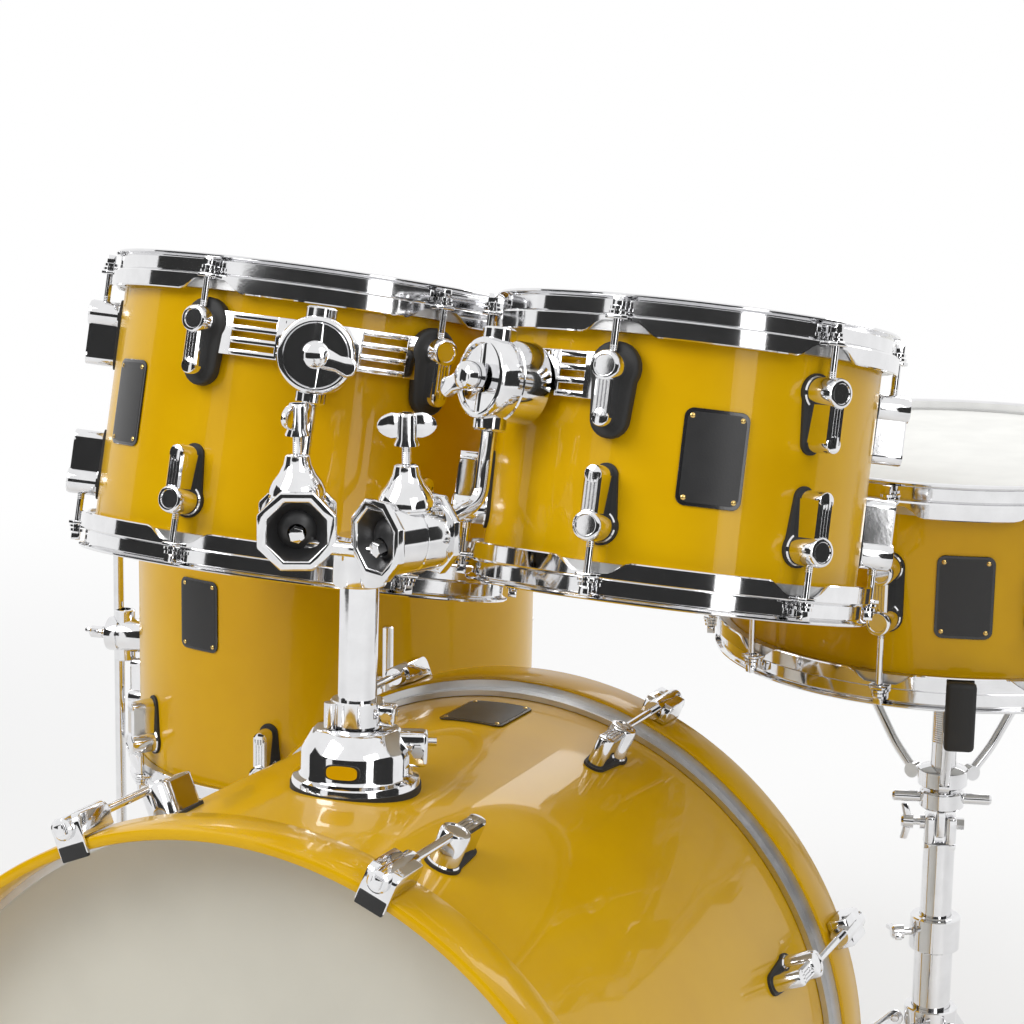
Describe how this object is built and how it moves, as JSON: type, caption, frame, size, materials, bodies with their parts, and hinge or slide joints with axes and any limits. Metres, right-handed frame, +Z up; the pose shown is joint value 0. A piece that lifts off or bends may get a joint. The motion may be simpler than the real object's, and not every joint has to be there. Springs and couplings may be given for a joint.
{
  "type": "drum kit",
  "caption": "Acoustic drum kit: bass drum with spurs and a post holder for tilted toms, floor tom on legs, and a snare drum on its folding stand.",
  "frame": {"origin": "on the floor, under the middle of the whole kit's box", "axes": "+Z up, -Y towards the audience, +X to the audience's right"},
  "size_m": [1.0184, 1.017, 0.8566],
  "materials": {
    "yellow_lacquer": "gloss lacquer",
    "chrome": "polished",
    "steel_wire": "brushed",
    "black_plastic": "satin",
    "clear_film": "clear film",
    "white_film": "coated film",
    "grey_film": "satin film"
  },
  "bodies": {
    "root": {"bass_shell": "yellow_lacquer", "bass_front_head": "grey_film", "bass_batter_head": "white_film", "bass_front_hoop": "yellow_lacquer", "bass_batter_hoop": "yellow_lacquer", "holder_base": "chrome"},
    "bass_spur_left": {"bass_spur_left": "chrome"},
    "bass_spur_right": {"bass_spur_right": "chrome"},
    "tom_post": {"holder_post": "chrome", "memory_collar": "chrome", "holder_head": "chrome"},
    "left_wing_nut": {"left_wing_nut": "chrome"},
    "left_ball": {"left_ball": "black_plastic"},
    "left_tom_rod": {"left_tom_rod": "chrome"},
    "left_tom": {"left_tom_shell": "yellow_lacquer", "left_tom_batter_head": "clear_film", "left_tom_resonant_head": "clear_film", "left_tom_batter_hoop": "chrome", "left_tom_resonant_hoop": "chrome", "left_tom_mount": "chrome"},
    "left_tom_lever": {"left_tom_lever": "chrome"},
    "right_wing_nut": {"right_wing_nut": "chrome"},
    "right_ball": {"right_ball": "black_plastic"},
    "right_tom_rod": {"right_tom_rod": "chrome"},
    "right_tom": {"right_tom_shell": "yellow_lacquer", "right_tom_batter_head": "clear_film", "right_tom_resonant_head": "clear_film", "right_tom_batter_hoop": "chrome", "right_tom_resonant_hoop": "chrome", "right_tom_mount": "chrome"},
    "right_tom_lever": {"right_tom_lever": "chrome"},
    "floor_tom": {"floor_tom_shell": "yellow_lacquer", "floor_tom_batter_head": "clear_film", "floor_tom_resonant_head": "clear_film", "floor_tom_batter_hoop": "chrome", "floor_tom_resonant_hoop": "chrome"},
    "floor_tom_leg_1": {"floor_tom_leg_1": "chrome"},
    "floor_tom_leg_2": {"floor_tom_leg_2": "chrome"},
    "floor_tom_leg_3": {"floor_tom_leg_3": "chrome"},
    "snare_stand": {"stand_lower_tube": "chrome"},
    "stand_leg_collar": {"stand_leg_collar": "chrome"},
    "stand_leg_1": {"stand_leg_1": "chrome"},
    "stand_brace_1": {"stand_brace_1": "chrome"},
    "stand_leg_2": {"stand_leg_2": "chrome"},
    "stand_brace_2": {"stand_brace_2": "chrome"},
    "stand_leg_3": {"stand_leg_3": "chrome"},
    "stand_brace_3": {"stand_brace_3": "chrome"},
    "stand_upper_tube": {"stand_upper_tube": "chrome"},
    "basket": {"basket_hub": "chrome"},
    "basket_nut": {"basket_nut": "chrome"},
    "basket_arm_1": {"basket_arm_1": "chrome"},
    "basket_arm_2": {"basket_arm_2": "chrome"},
    "basket_arm_3": {"basket_arm_3": "chrome"},
    "snare_drum": {"snare_shell": "yellow_lacquer", "snare_batter_head": "white_film", "snare_resonant_head": "clear_film", "snare_batter_hoop": "chrome", "snare_resonant_hoop": "chrome", "snare_wires": "steel_wire"},
    "strainer_lever": {"snare_strainer_lever": "chrome"}
  },
  "joints": [
    {"name": "bass_spur_left_fold", "type": "hinge", "parent": "root", "child": "bass_spur_left", "pos_m": [-0.24416, -0.32182, 0.23916], "axis": [0.9903, 0.0043, 0.1391], "range_deg": [0, 100]},
    {"name": "bass_spur_right_fold", "type": "hinge", "parent": "root", "child": "bass_spur_right", "pos_m": [0.29216, -0.32182, 0.23916], "axis": [0.9903, -0.0043, -0.1391], "range_deg": [0, 100]},
    {"name": "tom_post_height", "type": "slide", "parent": "root", "child": "tom_post", "axis": [0, 0.0307, 0.9995], "range_m": [0, 0.07]},
    {"name": "left_wing_nut_turn", "type": "hinge", "parent": "tom_post", "child": "left_wing_nut", "pos_m": [-0.0145, -0.3157, 0.7], "axis": [0, 0, 1], "continuous": true},
    {"name": "left_ball_tilt", "type": "hinge", "parent": "tom_post", "child": "left_ball", "pos_m": [-0.0145, -0.3157, 0.7], "axis": [0.8897, 0.4566, 0], "range_deg": [-4, 8]},
    {"name": "left_rod_reach", "type": "slide", "parent": "left_ball", "child": "left_tom_rod", "axis": [-0.4548, 0.8863, 0.0874], "range_m": [-0.006, 0.005]},
    {"name": "left_tom_height", "type": "slide", "parent": "left_tom_rod", "child": "left_tom", "axis": [0.0384, 0.206, 0.9778], "range_m": [-0.015, 0.012]},
    {"name": "left_tom_lever_turn", "type": "hinge", "parent": "left_tom", "child": "left_tom_lever", "pos_m": [-0.05049, -0.22226, 0.79625], "axis": [-0.4349, 0.8844, -0.1693], "continuous": true},
    {"name": "right_wing_nut_turn", "type": "hinge", "parent": "tom_post", "child": "right_wing_nut", "pos_m": [0.0625, -0.3157, 0.7], "axis": [0, 0, 1], "continuous": true},
    {"name": "right_ball_tilt", "type": "hinge", "parent": "tom_post", "child": "right_ball", "pos_m": [0.0625, -0.3157, 0.7], "axis": [0.8861, -0.4635, 0], "range_deg": [-4, 8]},
    {"name": "right_rod_reach", "type": "slide", "parent": "right_ball", "child": "right_tom_rod", "axis": [0.4494, 0.8592, 0.2447], "range_m": [-0.006, 0.008]},
    {"name": "right_tom_height", "type": "slide", "parent": "right_tom_rod", "child": "right_tom", "axis": [0.0227, 0.2027, 0.979], "range_m": [-0.015, 0.012]},
    {"name": "right_tom_lever_turn", "type": "hinge", "parent": "right_tom", "child": "right_tom_lever", "pos_m": [0.08121, -0.26333, 0.7968], "axis": [0.5342, 0.8252, -0.1833], "continuous": true},
    {"name": "floor_tom_place", "type": "slide", "parent": "root", "child": "floor_tom", "axis": [-0.8, 0.6, 0], "range_m": [0, 0.3]},
    {"name": "floor_tom_leg_1_height", "type": "slide", "parent": "floor_tom", "child": "floor_tom_leg_1", "axis": [0, 0, 1], "range_m": [-0.04, 0.06]},
    {"name": "floor_tom_leg_2_height", "type": "slide", "parent": "floor_tom", "child": "floor_tom_leg_2", "axis": [0, 0, 1], "range_m": [-0.04, 0.06]},
    {"name": "floor_tom_leg_3_height", "type": "slide", "parent": "floor_tom", "child": "floor_tom_leg_3", "axis": [0, 0, 1], "range_m": [-0.04, 0.06]},
    {"name": "snare_stand_place", "type": "slide", "parent": "root", "child": "snare_stand", "axis": [0.8, 0.6, 0], "range_m": [0, 0.3]},
    {"name": "stand_collar_slide", "type": "slide", "parent": "snare_stand", "child": "stand_leg_collar", "axis": [0, 0, 1], "range_m": [0, 0.07]},
    {"name": "stand_leg_1_fold", "type": "hinge", "parent": "stand_leg_collar", "child": "stand_leg_1", "pos_m": [0.3099, 0.21212, 0.213], "axis": [0.6428, 0.766, 0], "range_deg": [0, 29.3]},
    {"name": "stand_brace_1_fold", "type": "hinge", "parent": "snare_stand", "child": "stand_brace_1", "pos_m": [0.31241, 0.21511, 0.052], "axis": [-0.6428, -0.766, 0], "range_deg": [0, 29.9]},
    {"name": "stand_leg_2_fold", "type": "hinge", "parent": "stand_leg_collar", "child": "stand_leg_2", "pos_m": [0.29266, 0.25949, 0.213], "axis": [-0.9848, 0.1736, 0], "range_deg": [0, 29.3]},
    {"name": "stand_brace_2_fold", "type": "hinge", "parent": "snare_stand", "child": "stand_brace_2", "pos_m": [0.28882, 0.26017, 0.052], "axis": [0.9848, -0.1736, 0], "range_deg": [0, 29.9]},
    {"name": "stand_leg_3_fold", "type": "hinge", "parent": "stand_leg_collar", "child": "stand_leg_3", "pos_m": [0.26026, 0.22088, 0.213], "axis": [0.342, -0.9397, 0], "range_deg": [0, 29.3]},
    {"name": "stand_brace_3_fold", "type": "hinge", "parent": "snare_stand", "child": "stand_brace_3", "pos_m": [0.2616, 0.21721, 0.052], "axis": [-0.342, 0.9397, 0], "range_deg": [0, 29.9]},
    {"name": "stand_height", "type": "slide", "parent": "snare_stand", "child": "stand_upper_tube", "axis": [0, 0, 1], "range_m": [0, 0.09]},
    {"name": "basket_tilt", "type": "hinge", "parent": "stand_upper_tube", "child": "basket", "pos_m": [0.28761, 0.23083, 0.383], "axis": [0.9622, 0.2723, 0], "range_deg": [-12, 6]},
    {"name": "basket_nut_turn", "type": "hinge", "parent": "basket", "child": "basket_nut", "pos_m": [0.28761, 0.23083, 0.383], "axis": [0.003, -0.0202, 0.9998], "range_deg": [0, 720]},
    {"name": "basket_arm_1_open", "type": "hinge", "parent": "basket", "child": "basket_arm_1", "pos_m": [0.29502, 0.20424, 0.42245], "axis": [0.9622, 0.2723, 0.0027], "range_deg": [0, 12]},
    {"name": "basket_arm_2_open", "type": "hinge", "parent": "basket", "child": "basket_arm_2", "pos_m": [0.30641, 0.24923, 0.42333], "axis": [-0.7169, 0.697, 0.0162], "range_deg": [0, 12]},
    {"name": "basket_arm_3_open", "type": "hinge", "parent": "basket", "child": "basket_arm_3", "pos_m": [0.26174, 0.23659, 0.4232], "axis": [-0.2453, -0.9693, -0.0189], "range_deg": [0, 12]},
    {"name": "snare_lift", "type": "slide", "parent": "basket", "child": "snare_drum", "axis": [0.003, -0.0202, 0.9998], "range_m": [0, 0.25]},
    {"name": "strainer_lever_throw", "type": "hinge", "parent": "snare_drum", "child": "strainer_lever", "pos_m": [0.48916, 0.219, 0.58585], "axis": [0.0384, 0.9991, 0.0201], "range_deg": [0, 90]}
  ],
  "couplings": [
    {"joint": "stand_leg_1_fold", "follows": "stand_collar_slide", "rad_per_m": 7.2727},
    {"joint": "stand_brace_1_fold", "follows": "stand_collar_slide", "rad_per_m": 7.4064},
    {"joint": "stand_leg_2_fold", "follows": "stand_collar_slide", "rad_per_m": 7.2727},
    {"joint": "stand_brace_2_fold", "follows": "stand_collar_slide", "rad_per_m": 7.4064},
    {"joint": "stand_leg_3_fold", "follows": "stand_collar_slide", "rad_per_m": 7.2727},
    {"joint": "stand_brace_3_fold", "follows": "stand_collar_slide", "rad_per_m": 7.4064},
    {"joint": "basket_arm_1_open", "follows": "basket_nut_turn", "ratio": 0.01666},
    {"joint": "basket_arm_2_open", "follows": "basket_nut_turn", "ratio": 0.01666},
    {"joint": "basket_arm_3_open", "follows": "basket_nut_turn", "ratio": 0.01666}
  ]
}
